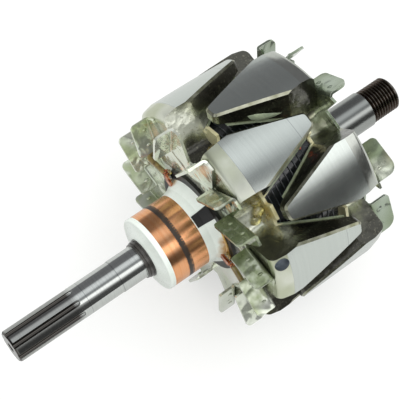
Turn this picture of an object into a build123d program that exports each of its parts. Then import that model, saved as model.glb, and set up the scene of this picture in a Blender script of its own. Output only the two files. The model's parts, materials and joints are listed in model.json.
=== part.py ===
from build123d import *
import math
import os

# Claw-pole rotor of a car alternator, in millimetres.
# The shaft lies along X with its threaded drive end at +X, and +Z is up.
# The origin is on the shaft's axis, where the seat of the drive-end bearing starts.
# An angle about the shaft is measured from +Y towards +Z.

# Fits
press_gap = 0.02      # between a pressed or moulded piece and what it sits on
slide_gap = 0.1       # between pieces that are slid or laid together
case_gap = 0.4        # round an insulated wire where it passes through steel

# Shaft
drive_seat_r = 8.5
drive_seat_length = 25.1
thread_r = 8.0
thread_pitch = 1.5
thread_depth = 0.8
thread_fall = 0.675   # along the shaft, from a crest to the next root
thread_rise = 0.6     # along the shaft, from a root to the next crest
thread_length = 14.6
knurl_r = 9.0         # the middle of the shaft, which the core and both poles are pressed on
spacer_seat_r = 8.75
hub_seat_r = 7.6
slip_seat_r = 7.5
slip_seat_length = 11.0
spline_r = 7.3
spline_length = 51.6
flute_count = 8
flute_length = 31.0
flute_width = 2.6
flute_depth = 1.2
relief_depth = 0.3
relief_width = 0.6
seat_clear = 0.3      # from the spacer's face to the start of the drive seat
end_chamfer = 0.8
centre_r = 2.2
centre_pilot_r = 0.88
centre_depth = 4.5
centre_angle = 30.0   # half the angle of the centre hole's cone

# Spacer between the drive-end pole and its bearing
spacer_r = 11.0
spacer_length = 5.7

# Poles, each a forged plate with claws bent along the rotor
claw_count = 6
first_claw_angle = 100.0
rotor_r = 52.15
pole_span = 58.2      # outer face to outer face
plate_t = 13.0
root_overlap = 2.0    # how far the stock of a claw or a tab reaches into its plate
valley_floor = 1.25    # flat left between the two fillets of a valley
valley_half_angle = 8.83   # from a valley's middle to the claw's side, in degrees
claw_length = 44.1    # outer face to claw tip
claw_half_width = 13.15
tip_half_width = 3.3
widest_at = 14.0      # from the outer face to where a claw is widest
tip_corner_r = 2.5
shoulder_drop = 1.55  # from the ground face to the shoulder's outer edge
shoulder_length = 7.0
shoulder_fillet = 3.5
claw_root_t = 13.45
claw_tip_t = 4.65
claw_bevel = 0.9
core_r = 25.0

# Balance hole drilled in the shoulder of one slip-end claw
balance_r = 3.0
balance_depth = 5.0
balance_from_face = 4.0
balance_aside = 8.7
balance_claw = 1

# Winding
bobbin_wall = 1.0
flange_t = 1.4
flange_clear = 0.7    # from a flange's edge to the claws' roots
tab_width = 7.0
tab_length = 3.8
petal_t = 0.8
petal_gap = 0.25
petal_play = 0.8      # between a petal's root and the wrap
petal_overhang = 0.5
petal_end = 40.0      # from the outer face of the pole that the petal lies under
wrap_t = 0.55

# Slip rings, on a moulded hub
bush_length = 5.3
bush_nose_r = 9.0
bush_nose_length = 1.3
bush_middle_r = 9.5
bush_middle_length = 1.6
bush_back_r = 10.1
ring_r = 17.15
ring_wall = 2.7
rim_r = 17.2
rim_length = 2.3
rim_fillet = 0.8
ring_outer_length = 7.1
separator_length = 2.6
ring_inner_length = 7.6
flare_length = 7.4
flare_knee_length = 3.33
flare_knee_rise = 0.8
flare_r = 20.5
collar_t = 1.5
collar_r = 24.2
key_inner_r = 15.2
key_angle = 109.2
key_spread = 19.0
key_lead = 0.3        # hub left between the inner ring and the key
key_play = 0.6        # degrees between the key and its notch
cut_overrun = 1.0     # how far a cutter runs past what it cuts

# Leads between the coil and the rings
lead_r = 0.6
sleeve_r = 1.2
lead_depth = 0.9      # from the winding's outside in to a lead's centre
lead_clear = 0.7      # from a sleeve to the bottom of its valley
lead_bend_r = 2.2
lead_angles = (10.0, 190.0)
terminal_angles = (30.0, 178.0)
terminal_width = 3.0
terminal_t = 1.0
terminal_inner_r = 10.8
terminal_bar_t = 2.0
terminal_tip_r = 24.0
terminal_behind = 1.7   # from the flare's rear face to the terminal's rear face
joint_r = 22.4
solder_r = 1.9
solder_height = 1.5
solder_round = 0.9
sleeve_stop = 3.2       # bare wire between the sleeve and the solder joint

# Cooling fans, each pressed from one sheet
sheet_t = 1.2
bend_r = 0.9
arm_overlap = 1.0     # how far a blade's foot runs on under its arm
slip_fan_bore_r = 12.0
slip_fan_ring_r = 35.6
slip_blade_height = 9.4
slip_blade_length = 17.0
slip_blade_lean = 27.5
slip_blade_r = 50.0
slip_blade_corner = 2.2
slip_arm_turns = (6.5, 11.0)    # from the blade's outer end to the arm's outer and inner corners
slip_blade_angles = (7, 37, 62, 88, 110, 130, 156, 181, 206, 237, 265, 292, 319, 343)
drive_fan_bore_r = 9.2
drive_fan_ring_r = 36.5
drive_blade_height = 10.6
drive_blade_length = 17.0
drive_blade_lean = 48.0
drive_blade_r = 49.5
drive_blade_corner = 4.5
drive_arm_turns = (5.0, 2.0)
drive_blade_angles = (2, 34, 63, 95, 145, 191, 233, 267, 302, 333)

# Stations along the shaft
spacer_face = -seat_clear
drive_fan_front = spacer_face - spacer_length
drive_fan_back = drive_fan_front - sheet_t
slip_face = drive_fan_back - pole_span
slip_fan_front = slip_face - sheet_t
hub_back = slip_fan_front - collar_t
flare_front = hub_back - flare_length
inner_ring_front = flare_front - ring_inner_length
separator_front = inner_ring_front - separator_length
outer_ring_front = separator_front - ring_outer_length
hub_front = outer_ring_front - rim_length
bush_front = hub_front - bush_length
slip_seat_back = bush_front - relief_width / 2
slip_seat_front = slip_seat_back - slip_seat_length
slip_end = slip_seat_front - spline_length
drive_end = drive_seat_length + thread_length
core_length = pole_span - 2 * plate_t
core_front = slip_face + plate_t
mid_plane = Plane.YZ.offset(slip_face + pole_span / 2)
pitch_angle = 360 / claw_count

# Radii that follow from the rotor's, from the claws in to the valleys between them
shoulder_r = rotor_r - shoulder_drop
claw_root_inner_r = rotor_r - claw_root_t
claw_tip_inner_r = rotor_r - claw_tip_t
flange_r = claw_root_inner_r - flange_clear
tab_r = flange_r + tab_length
coil_r = claw_root_inner_r - petal_gap - petal_t - petal_play - wrap_t
lead_way_r = coil_r - lead_depth
valley_r = lead_way_r - sleeve_r - lead_clear
valley_half_width = valley_r * math.sin(math.radians(valley_half_angle))
valley_fillet = valley_half_width - valley_floor / 2
root_half_width = valley_r * math.sin(math.radians(pitch_angle / 2 - valley_half_angle))


def polar(r, angle, x=0.0):
    """Point at a radius and an angle about the shaft."""
    turn = math.radians(angle)
    return Vector(x, r * math.cos(turn), r * math.sin(turn))


def turned(*outline):
    """Solid turned about the shaft's axis from an outline of (x, radius) points."""
    return revolve(make_face(Polyline(*outline, close=True)), Axis.X)


def tube(x_from, x_to, r_in, r_out):
    """Ring or bush about the shaft's axis."""
    return turned((x_from, r_in), (x_from, r_out), (x_to, r_out), (x_to, r_in))


def around(shape, angle):
    """The shape turned about the shaft's axis."""
    return Rot(angle, 0, 0) * shape


def radial_block(x_from, x_to, r_from, r_to, width):
    """Block that stands out from the axis along +Y."""
    corner = Pos((x_from + x_to) / 2, (r_from + r_to) / 2, 0)
    return corner * Box(x_to - x_from, r_to - r_from, width)


def radial_prism(outline, r_from, r_to):
    """Outline of (x, across) points pushed out from the axis along +Y."""
    face = make_face(Polyline(*outline, close=True))
    lifted = Plane((0, r_from, 0), x_dir=(1, 0, 0), z_dir=(0, 1, 0)) * face
    return extrude(lifted, r_to - r_from)


def claw_outline(half_widths):
    """Symmetric outline from (x, half width) stations."""
    return [(x, w) for x, w in half_widths] + [(x, -w) for x, w in reversed(half_widths)]


def make_shaft():
    """Ground and knurled shaft with rolled thread, flutes and centre holes."""
    thread_start = drive_seat_length
    thread_run = thread_length - end_chamfer
    crest_count = int(thread_run / thread_pitch)
    thread = []
    for turn in range(crest_count):
        x = thread_start + turn * thread_pitch
        thread += [(x + thread_fall, thread_r - thread_depth), (x + thread_fall + thread_rise, thread_r)]
        thread += [(x + thread_pitch, thread_r)]
    outline = [(slip_end, 0), (slip_end, spline_r - end_chamfer), (slip_end + end_chamfer, spline_r)]
    outline += [(slip_seat_front, spline_r), (slip_seat_front, slip_seat_r), (slip_seat_back, slip_seat_r)]
    outline += [(slip_seat_back, slip_seat_r - relief_depth)]
    outline += [(slip_seat_back + relief_width, slip_seat_r - relief_depth)]
    outline += [(slip_seat_back + relief_width, hub_seat_r), (slip_face, hub_seat_r), (slip_face, knurl_r)]
    outline += [(drive_fan_back, knurl_r), (drive_fan_back, spacer_seat_r)]
    relief_start = spacer_face - seat_clear
    outline += [(relief_start, spacer_seat_r), (relief_start, drive_seat_r - relief_depth)]
    outline += [(0, drive_seat_r - relief_depth), (0, drive_seat_r)]
    outline += [(thread_start - (drive_seat_r - thread_r), drive_seat_r), (thread_start, thread_r)]
    outline += thread
    outline += [(drive_end - end_chamfer, thread_r), (drive_end, thread_r - end_chamfer), (drive_end, 0)]
    shaft = turned(*outline)

    cutter_r = (flute_width ** 2 / 4 + flute_depth ** 2) / (2 * flute_depth)
    cutter_at = spline_r - flute_depth + cutter_r
    flute_end = slip_end + flute_length
    cutter = Pos((slip_end + flute_end) / 2, cutter_at, 0) * Rot(0, 90, 0) * Cylinder(cutter_r, flute_length)
    cutter += Pos(flute_end, cutter_at, 0) * Sphere(cutter_r)
    for flute in range(flute_count):
        shaft -= around(cutter, (flute + 0.5) * 360 / flute_count)

    for face_x, inward in ((slip_end, 1), (drive_end, -1)):
        cone_end = face_x + inward * (centre_r - centre_pilot_r) / math.tan(math.radians(centre_angle))
        bottom = face_x + inward * centre_depth
        shaft -= turned((face_x, 0), (face_x, centre_r), (cone_end, centre_pilot_r),
                        (bottom, centre_pilot_r), (bottom, 0))
    return shaft


def claw_stations(extra=0.0, start=0.0, end=claw_length):
    """Half widths of a claw from its pole's outer face to its tip."""
    taper = (claw_half_width - tip_half_width) / (claw_length - widest_at)
    end_width = claw_half_width - taper * (end - widest_at)
    tip = (end, end_width + extra)
    if start < widest_at:
        return [(start, root_half_width + extra), (widest_at, claw_half_width + extra), tip]
    return [(start, claw_half_width + extra), tip]


def make_claw():
    """One claw along +Y, rising from a pole's outer face at x = 0."""
    section = make_face(Polyline(
        (0, valley_r - root_overlap), (0, shoulder_r), (shoulder_length, rotor_r), (claw_length, rotor_r),
        (claw_length, claw_tip_inner_r), (plate_t, claw_root_inner_r), (plate_t, valley_r - root_overlap),
        close=True))
    corner = section.vertices().sort_by_distance((0, shoulder_r, 0))[0]
    section = fillet(corner, shoulder_fillet)
    outline = make_face(Polyline(*claw_outline(claw_stations()), close=True))
    outline = fillet(outline.vertices().group_by(Axis.X)[-1], tip_corner_r)
    lifted = Plane((0, valley_r / 2, 0), x_dir=(1, 0, 0), z_dir=(0, 1, 0)) * outline
    claw = revolve(section, Axis.X) & extrude(lifted, rotor_r)
    ground = claw.faces().filter_by(GeomType.CYLINDER).sort_by(SortBy.AREA)[-1]
    sides = [e for e in ground.edges() if e.center().X > widest_at and abs(e.center().Z) > tip_half_width / 2]
    return chamfer(sides, claw_bevel)


def make_pole():
    """Pole with its outer face at x = 0 and its claws along +X, the first claw along +Y."""
    claw = make_claw()
    pole = tube(0, plate_t, knurl_r + press_gap, valley_r)
    for turn in range(claw_count):
        pole += around(claw, turn * pitch_angle)
    along = [e for e in pole.edges() if abs(e.bounding_box().size.X - plate_t) < slide_gap]
    corners = [e for e in along if abs(math.hypot(e.center().Y, e.center().Z) - valley_r) < slide_gap]
    return fillet(corners, valley_fillet)


def make_bobbin():
    """Moulded bobbin: tube, two flanges, tabs in the valleys and petals under the claws."""
    tube_r = core_r + press_gap
    front = core_front + press_gap
    back = core_front + core_length - press_gap
    bobbin = tube(front, back, tube_r, tube_r + bobbin_wall)
    slant = (claw_tip_inner_r - claw_root_inner_r) / (claw_length - plate_t)
    rise = slant * (petal_end - plate_t)
    outer_r = claw_root_inner_r - petal_gap
    petal_ring = turned(
        (plate_t + press_gap, outer_r - petal_t), (plate_t + press_gap, outer_r),
        (petal_end, outer_r + rise), (petal_end, outer_r + rise - petal_t))
    stations = claw_stations(petal_overhang, plate_t, petal_end)
    petal = petal_ring & radial_prism(claw_outline(stations), core_r, rotor_r)
    tab = radial_block(plate_t + press_gap, plate_t + flange_t, flange_r - root_overlap, tab_r, tab_width)
    end = tube(plate_t + press_gap, plate_t + flange_t, tube_r, flange_r)
    for turn in range(claw_count):
        end += around(petal, turn * pitch_angle)
    for side in (0, 1):
        flange = end
        for turn in range(claw_count):
            tab_angle = first_claw_angle + (turn + 0.5 + 0.5 * side) * pitch_angle
            is_lead_way = side == 0 and any(abs((tab_angle - a + 180) % 360 - 180) < 1 for a in lead_angles)
            if not is_lead_way:
                flange += around(tab, (turn + 0.5) * pitch_angle)
        if side == 0:
            bobbin += Pos(slip_face, 0, 0) * around(flange, first_claw_angle)
        else:
            flange = around(flange, first_claw_angle + pitch_angle / 2)
            bobbin += mirror(Pos(slip_face, 0, 0) * flange, mid_plane)
    notch_r = flange_r + cut_overrun
    notch = radial_block(core_front, core_front + flange_t, lead_way_r - sleeve_r, notch_r, 2 * sleeve_r)
    for angle in lead_angles:
        bobbin -= around(notch, angle)
    return bobbin


def flare_profile(inset=0.0):
    """Outline of the hub's flared rear end as (x, radius) points, drawn in by a gap."""
    knee = (flare_front + flare_knee_length, rim_r + flare_knee_rise - inset)
    return [(flare_front, rim_r - inset), knee, (hub_back, flare_r - inset)]


def key_wedge(r_from, x_from, x_to, spread):
    """Wedge about +Y that a key or its notch is cut with."""
    reach = flare_r + cut_overrun
    half_width = reach * math.tan(math.radians(spread / 2))
    face = make_face(Polyline((0, 0), (reach, half_width), (reach, -half_width), close=True))
    side_on = Plane((x_from, 0, 0), x_dir=(0, 1, 0), z_dir=(1, 0, 0)) * face
    return extrude(side_on, x_to - x_from) - tube(x_from, x_to, 0, r_from)


def terminal_shape(ring_x, grow=0.0):
    """Copper conductor from a slip ring to the hub's rear edge, along +Y, grown by a gap for its way."""
    back = hub_back - terminal_behind + grow
    front = back - terminal_t - 2 * grow
    half = terminal_bar_t / 2 + grow
    inner_r = terminal_inner_r - grow
    bar_r = terminal_inner_r + terminal_bar_t + grow
    ring_bore = ring_r - ring_wall
    tip_r = terminal_tip_r + grow
    outline = make_face(Polyline(
        (ring_x - half, ring_bore), (ring_x - half, inner_r), (back, inner_r), (back, tip_r),
        (front, tip_r), (front, bar_r), (ring_x + half, bar_r), (ring_x + half, ring_bore), close=True))
    return extrude(outline, terminal_width / 2 + grow, both=True)


def make_slip_hub(terminals):
    """Moulded hub under the slip rings, with the ways of its conductors and the notch for the key."""
    ring_bore = ring_r - ring_wall
    hub = turned(
        (hub_front, hub_seat_r + press_gap), (hub_front, rim_r), (outer_ring_front, rim_r),
        (outer_ring_front, ring_bore), (flare_front, ring_bore), *flare_profile(),
        (hub_back, hub_seat_r + press_gap))
    rim = hub.edges().filter_by(GeomType.CIRCLE).group_by(Axis.X)[0].sort_by(SortBy.LENGTH)[-1]
    hub = fillet(rim, rim_fillet)
    notch = key_wedge(key_inner_r, flare_front + key_lead, hub_back, key_spread)
    hub -= around(notch, key_angle)
    for ring_x, angle in terminals:
        hub -= around(terminal_shape(ring_x, press_gap), angle)
    return hub


def make_collar():
    """Insulating collar behind the hub, with the key that stops the hub turning."""
    collar = tube(hub_back, slip_fan_front, hub_seat_r + slide_gap, collar_r)
    key_front = flare_front + key_lead + slide_gap
    key = key_wedge(key_inner_r + slide_gap, key_front, hub_back, key_spread - key_play)
    flare = turned((flare_front, 0), *flare_profile(), (hub_back, 0))
    return collar + around(key & flare, key_angle)


def lead_route(lead_angle, terminal_angle, start_x, stop_short=0.0):
    """Path of a lead: out of the coil along its valley, then in to its terminal."""
    turn_x = hub_back - terminal_behind + lead_r + slide_gap
    start = polar(lead_way_r, lead_angle, start_x)
    corner = polar(lead_way_r, lead_angle, turn_x)
    joint = polar(joint_r, terminal_angle, turn_x)
    end = joint + (corner - joint).normalized() * stop_short
    return FilletPolyline(start, corner, end, radius=lead_bend_r)


def round_sweep(path, r):
    """Round bar along a path."""
    return sweep(Plane(path @ 0, z_dir=path % 0) * Circle(r), path)


def make_lead(lead_angle, terminal_angle):
    """Bare end of the coil's wire."""
    return round_sweep(lead_route(lead_angle, terminal_angle, core_front + flange_t + slide_gap), lead_r)


def make_sleeve(lead_angle, terminal_angle):
    """Insulating sleeve on a lead, short of both of its ends."""
    route = lead_route(lead_angle, terminal_angle, core_front - slide_gap, sleeve_stop)
    return round_sweep(route, sleeve_r) - round_sweep(route, lead_r + press_gap)


def make_solder(terminal_angle, lead):
    """Bead of solder on the terminal's rear face, round the wire's end."""
    bead = Cylinder(solder_r, solder_height, align=(Align.CENTER, Align.CENTER, Align.MIN))
    bead = fillet(bead.edges().group_by(Axis.Z)[-1], solder_round)
    seat = polar(joint_r, terminal_angle, hub_back - terminal_behind)
    return Plane(seat, z_dir=(1, 0, 0)).location * bead - lead


def make_blade(outer_angle, plate_r, outer_r, lean, length, height, corner_r, arm_turns):
    """Fan blade with its bend and its arm. The sheet's back face is at x = 0 and the blade points to -X."""
    outside_bend = bend_r + sheet_t
    outer = polar(outer_r, outer_angle)
    along = polar(1, outer_angle + lean)
    inner = outer - along * length
    across = polar(1, outer_angle + lean + 90)
    reach = outside_bend + arm_overlap
    profile = make_face(Polyline(
        (reach, 0), (0, 0), (0, -height), (sheet_t, -height), (sheet_t, -sheet_t), (reach, -sheet_t),
        close=True))
    profile = fillet(profile.vertices().sort_by_distance((0, 0, 0))[0], outside_bend)
    profile = fillet(profile.vertices().sort_by_distance((sheet_t, -sheet_t, 0))[0], bend_r)
    blade = extrude(profile, length)
    tips = blade.edges().filter_by(Axis.X).group_by(Axis.Y)[0]
    blade = fillet(tips.sort_by(Axis.Z)[-1], corner_r)
    tips = blade.edges().filter_by(Axis.X).group_by(Axis.Y)[0]
    blade = fillet(tips.sort_by(Axis.Z)[0], corner_r / 2)
    blade = Plane(inner, x_dir=across, z_dir=along).location * blade

    rooted_r = plate_r - sheet_t
    root = inner + across * outside_bend
    root_angle = math.degrees(math.atan2(root.Z, root.Y))
    far = polar(outer_r - arm_overlap, outer_angle + arm_turns[0])
    near = polar(rooted_r, outer_angle + arm_turns[1])
    under = polar(rooted_r, root_angle)
    arm = make_face(Polyline(outer + across * outside_bend, far, near, under, root, close=True))
    return blade + extrude(arm, sheet_t, dir=(-1, 0, 0))


def make_fan(bore_r, plate_r, angles, *blade_sizes):
    """Pressed fan with its back face at x = 0 and its blades towards -X."""
    fan = tube(-sheet_t, 0, bore_r, plate_r)
    for angle in angles:
        fan += make_blade(angle, plate_r, *blade_sizes)
    return fan


pole = make_pole()
pole_slip = Pos(slip_face, 0, 0) * around(pole, first_claw_angle)
pole_drive = mirror(Pos(slip_face, 0, 0) * around(pole, first_claw_angle + pitch_angle / 2), mid_plane)
hole_at = polar(shoulder_r, 0, slip_face + balance_from_face)
hole = Pos(hole_at) * Rot(90, 0, 0) * Cylinder(balance_r, 2 * balance_depth)
aside = math.degrees(math.asin(balance_aside / shoulder_r))
pole_slip -= around(hole, first_claw_angle + balance_claw * pitch_angle - aside)

ring_bore_r = ring_r - ring_wall
ring_outer = tube(outer_ring_front, separator_front, ring_bore_r + press_gap, ring_r)
ring_inner = tube(inner_ring_front, flare_front, ring_bore_r + press_gap, ring_r)
terminals = ((outer_ring_front + ring_outer_length / 2, terminal_angles[0]),
             (inner_ring_front + ring_inner_length / 2, terminal_angles[1]))
terminal_a, terminal_b = [around(terminal_shape(x), angle) for x, angle in terminals]
terminal_a -= ring_outer
terminal_b -= ring_inner
lead_a, lead_b = [make_lead(*angles) for angles in zip(lead_angles, terminal_angles)]
sleeve_a, sleeve_b = [make_sleeve(*angles) for angles in zip(lead_angles, terminal_angles)]
solder_a = make_solder(terminal_angles[0], lead_a)
solder_b = make_solder(terminal_angles[1], lead_b)

slip_fan = make_fan(slip_fan_bore_r, slip_fan_ring_r, slip_blade_angles, slip_blade_r,
                    slip_blade_lean, slip_blade_length, slip_blade_height, slip_blade_corner, slip_arm_turns)
slip_fan = Pos(slip_face, 0, 0) * slip_fan
for angle in lead_angles:
    way = Rot(0, 90, 0) * Cylinder(sleeve_r + case_gap, 2 * (sheet_t + cut_overrun))
    slip_fan -= Pos(polar(lead_way_r, angle, slip_face)) * way
drive_fan = make_fan(drive_fan_bore_r, drive_fan_ring_r, drive_blade_angles, drive_blade_r,
                     drive_blade_lean, drive_blade_length, drive_blade_height, drive_blade_corner,
                     drive_arm_turns)
drive_fan = Pos(drive_fan_back, 0, 0) * mirror(drive_fan, Plane.YZ)

winding_front = core_front + flange_t + slide_gap
winding_back = core_front + core_length - flange_t - slide_gap
tube_wall_r = core_r + press_gap + bobbin_wall
bush_nose_end = bush_front + bush_nose_length
bush_middle_end = bush_nose_end + bush_middle_length
bush = turned(
    (bush_front, hub_seat_r + press_gap), (bush_front, bush_nose_r), (bush_nose_end, bush_nose_r),
    (bush_nose_end, bush_middle_r), (bush_middle_end, bush_middle_r), (bush_middle_end, bush_back_r),
    (hub_front, bush_back_r), (hub_front, hub_seat_r + press_gap))

nodes = {
    "shaft": make_shaft(),
    "pole_slip_end": pole_slip,
    "pole_drive_end": pole_drive,
    "pole_core": tube(core_front, core_front + core_length, knurl_r + press_gap, core_r),
    "coil_bobbin": make_bobbin(),
    "field_coil": tube(winding_front, winding_back, tube_wall_r + press_gap, coil_r),
    "coil_wrap": tube(winding_front, winding_back, coil_r + press_gap, coil_r + wrap_t),
    "slip_ring_hub": make_slip_hub(terminals),
    "hub_bush": bush,
    "slip_ring_outer": ring_outer,
    "ring_separator": tube(separator_front, inner_ring_front, ring_bore_r + press_gap, ring_r),
    "slip_ring_inner": ring_inner,
    "insulating_collar": make_collar(),
    "ring_terminal_a": terminal_a,
    "ring_terminal_b": terminal_b,
    "coil_lead_a": lead_a,
    "coil_lead_b": lead_b,
    "lead_sleeve_a": sleeve_a,
    "lead_sleeve_b": sleeve_b,
    "solder_joint_a": solder_a,
    "solder_joint_b": solder_b,
    "fan_slip_end": slip_fan,
    "fan_drive_end": drive_fan,
    "drive_spacer": tube(drive_fan_front, spacer_face, spacer_seat_r + press_gap, spacer_r),
}

os.makedirs("parts", exist_ok=True)
for name, shape in nodes.items():
    export_step(shape, f"parts/{name}.step")
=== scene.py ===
"""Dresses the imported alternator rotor: ground, plated and varnished metal, pips, cord and a pale studio."""

import json
from math import cos, pi, radians, sin

import bmesh
import bpy
from bpy.props import FloatProperty, FloatVectorProperty, IntProperty, PointerProperty
from mathutils import Matrix, Vector, noise

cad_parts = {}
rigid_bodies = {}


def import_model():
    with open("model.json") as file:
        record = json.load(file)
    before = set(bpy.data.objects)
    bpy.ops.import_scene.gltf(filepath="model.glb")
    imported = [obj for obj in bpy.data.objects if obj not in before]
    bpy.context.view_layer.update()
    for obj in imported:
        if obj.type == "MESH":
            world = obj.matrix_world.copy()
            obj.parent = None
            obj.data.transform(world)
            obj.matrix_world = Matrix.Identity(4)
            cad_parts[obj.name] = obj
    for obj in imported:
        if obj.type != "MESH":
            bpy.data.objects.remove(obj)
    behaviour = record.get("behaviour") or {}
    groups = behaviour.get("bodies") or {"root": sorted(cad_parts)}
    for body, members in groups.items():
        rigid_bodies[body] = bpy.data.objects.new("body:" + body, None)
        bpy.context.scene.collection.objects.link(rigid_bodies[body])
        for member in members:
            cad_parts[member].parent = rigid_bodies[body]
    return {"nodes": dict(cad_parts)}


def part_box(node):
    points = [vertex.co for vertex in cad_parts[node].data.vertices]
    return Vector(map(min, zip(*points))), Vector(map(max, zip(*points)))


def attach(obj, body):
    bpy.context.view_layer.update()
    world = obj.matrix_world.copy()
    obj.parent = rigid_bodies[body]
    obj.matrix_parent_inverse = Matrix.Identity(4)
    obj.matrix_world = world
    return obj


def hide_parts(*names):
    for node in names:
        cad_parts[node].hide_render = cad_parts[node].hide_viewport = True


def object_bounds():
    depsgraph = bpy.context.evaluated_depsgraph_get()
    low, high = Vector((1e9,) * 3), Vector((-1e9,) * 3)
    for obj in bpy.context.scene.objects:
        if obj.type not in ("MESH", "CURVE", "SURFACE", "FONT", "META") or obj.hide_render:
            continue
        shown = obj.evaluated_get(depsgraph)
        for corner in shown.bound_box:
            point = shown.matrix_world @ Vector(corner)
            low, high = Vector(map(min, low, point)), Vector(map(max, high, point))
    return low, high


bl_info = {
    "name": "Alternator rotor dressing",
    "version": (1, 0, 0),
    "blender": (4, 5, 0),
    "location": "3D View > Sidebar > Rotor",
    "description": "Gives the packed rotor its metal finishes, pips, cord, varnish and a pale studio",
    "category": "Object",
}

for leftover in list(bpy.data.objects):
    bpy.data.objects.remove(leftover)

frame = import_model()
cad_low, cad_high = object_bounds()

MM = 0.001
ROTOR_R = cad_high.y
SLIP_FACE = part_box("pole_slip_end")[0].x
DRIVE_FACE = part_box("pole_drive_end")[1].x
COIL_FRONT, COIL_BACK = [corner.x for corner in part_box("coil_wrap")]
COIL_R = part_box("coil_wrap")[1].y
HUB_FRONT, HUB_BACK = [corner.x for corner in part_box("slip_ring_hub")]

# Sizes that the CAD solids have
SHEET_T = 1.2 * MM
SHOULDER_LENGTH = 7.0 * MM
BALANCE_HOLE = Vector((SLIP_FACE + 4.0 * MM, -0.0431, 0.0248))
BALANCE_HOLE_REACH = 5.5 * MM      # from its middle, past its walls
FLUTES_END = -132.3 * MM
THREAD_START = 25.1 * MM
THREAD_R = 8.0 * MM

# Fan blades: the angles and the radius of their outer ends, their lean and length, in degrees and mm
SLIP_BLADES = ((7, 37, 62, 88, 110, 130, 156, 181, 206, 237, 265, 292, 319, 343), 50.0, 27.5, 17.0)
DRIVE_BLADES = ((2, 34, 63, 95, 145, 191, 233, 267, 302, 333), 49.5, 48.0, 17.0)
PIP_SHARES = (0.27, 0.73)          # where the two pips of a blade lie along its length
PIP_RISE = 4.0                     # from the sheet's back, in mm

# Degrees about the shaft from the picture's rotor to this one. The studio and the camera turn with it.
TURN = 3.3

# The camera that was fitted to the picture, with its focal length and the picture's width in pixels
AZIMUTH = -37.56
ELEVATION = 60.6
CAMERA_AWAY = 0.52
AIM_ALONG = 96.05 * MM
AIM_UP = 16.95 * MM
FOCAL_LENGTH = 1257.73
PICTURE_WIDTH = 400

# What the metal mirrors at each degree about the shaft: soft boxes along it between greyer walls
SOFT_BOXES = (
    (0, "#B4B4B4"), (5, "#828284"), (12, "#646466"), (40, "#5C5C5E"), (64, "#626264"), (73, "#BCBEC0"),
    (86, "#CDCFD1"), (97, "#BCBEC0"), (107, "#787A7C"), (117, "#88898A"), (124, "#FFFFFF"),
    (138, "#F8F8F8"), (147, "#9A9A9A"), (154, "#4C4C4C"), (166, "#3C3C3C"), (178, "#404040"))


def linear(code):
    """A colour written as an sRGB hex value, as the linear RGBA that a shader reads."""
    parts = [int(code[i:i + 2], 16) / 255 for i in (1, 3, 5)]
    return tuple(c / 12.92 if c <= 0.04045 else ((c + 0.055) / 1.055) ** 2.4 for c in parts) + (1.0,)


def polar(r_mm, angle, x=0.0):
    """Point in metres, from a radius in millimetres and an angle about the shaft."""
    return Vector((x, r_mm * MM * cos(radians(angle)), r_mm * MM * sin(radians(angle))))


def add(tree, kind, inputs=None, stops=None, **settings):
    """Adds a node. An input is a socket to link, an sRGB hex value or a plain one. Stops fill a ramp."""
    # a map range has its value in 0, where that runs in 1 and 2, and where it goes in 3 and 4
    node = tree.nodes.new(kind)
    for name, value in settings.items():
        setattr(node, name, value)
    for name, value in (inputs or {}).items():
        if isinstance(value, bpy.types.NodeSocket):
            tree.links.new(value, node.inputs[name])
        else:
            node.inputs[name].default_value = linear(value) if str(value).startswith("#") else value
    if stops:
        ramp = node.color_ramp.elements
        while len(ramp) < len(stops):
            ramp.new(1.0)
        for element, (position, code) in zip(ramp, stops):
            element.position = position
            element.color = linear(code)
    return node


def new_material(name, constants):
    """Material with a Principled shader, whose constants go on its own sockets, and Object coordinates."""
    material = bpy.data.materials.new(name)
    material.use_nodes = True
    tree = material.node_tree
    tree.nodes.clear()
    shader = add(tree, "ShaderNodeBsdfPrincipled", constants)
    add(tree, "ShaderNodeOutputMaterial", {"Surface": shader.outputs["BSDF"]})
    place = add(tree, "ShaderNodeTexCoord").outputs["Object"]
    return material, tree, shader, place


def finish_with(tree, shader, sockets):
    """Links the worked-out looks to the shader's sockets."""
    for name, socket in sockets.items():
        tree.links.new(socket, shader.inputs[name])


def about_shaft(tree, place):
    """How far a point lies along the shaft, and how far from its axis."""
    parts = add(tree, "ShaderNodeSeparateXYZ", {0: place}).outputs
    across = add(tree, "ShaderNodeCombineXYZ", {1: parts[1], 2: parts[2]}).outputs[0]
    return parts[0], add(tree, "ShaderNodeVectorMath", {0: across}, operation="LENGTH").outputs["Value"]


def nearness(tree, place, middle, r_mm, core, most=1.0):
    """Share that is at its most within a core of the radius about a middle, and nothing past the radius."""
    away = add(tree, "ShaderNodeVectorMath", {0: place, 1: middle}, operation="DISTANCE").outputs["Value"]
    return add(tree, "ShaderNodeMapRange", {0: away, 1: r_mm * MM, 2: r_mm * core * MM, 4: most}).outputs[0]


def stained(tree, place, colour, code, spots):
    """The colour with soft-edged stains of another, each from its middle and its radius in millimetres."""
    if not spots:
        return colour
    ragged = add(tree, "ShaderNodeTexNoise", {
        "Vector": place, "Scale": 1 / (3 * MM), "Detail": 2.0}).outputs[0]
    for middle, r_mm in spots:
        share = nearness(tree, place, middle, r_mm, 0.3)
        share = add(tree, "ShaderNodeMath", {0: share, 1: ragged}, operation="MULTIPLY").outputs[0]
        share = add(tree, "ShaderNodeMapRange", {0: share, 1: 0.02, 2: 0.5, 4: 0.9}).outputs[0]
        colour = add(tree, "ShaderNodeMix", {0: share, 6: colour, 7: code}, data_type="RGBA").outputs[2]
    return colour


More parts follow.
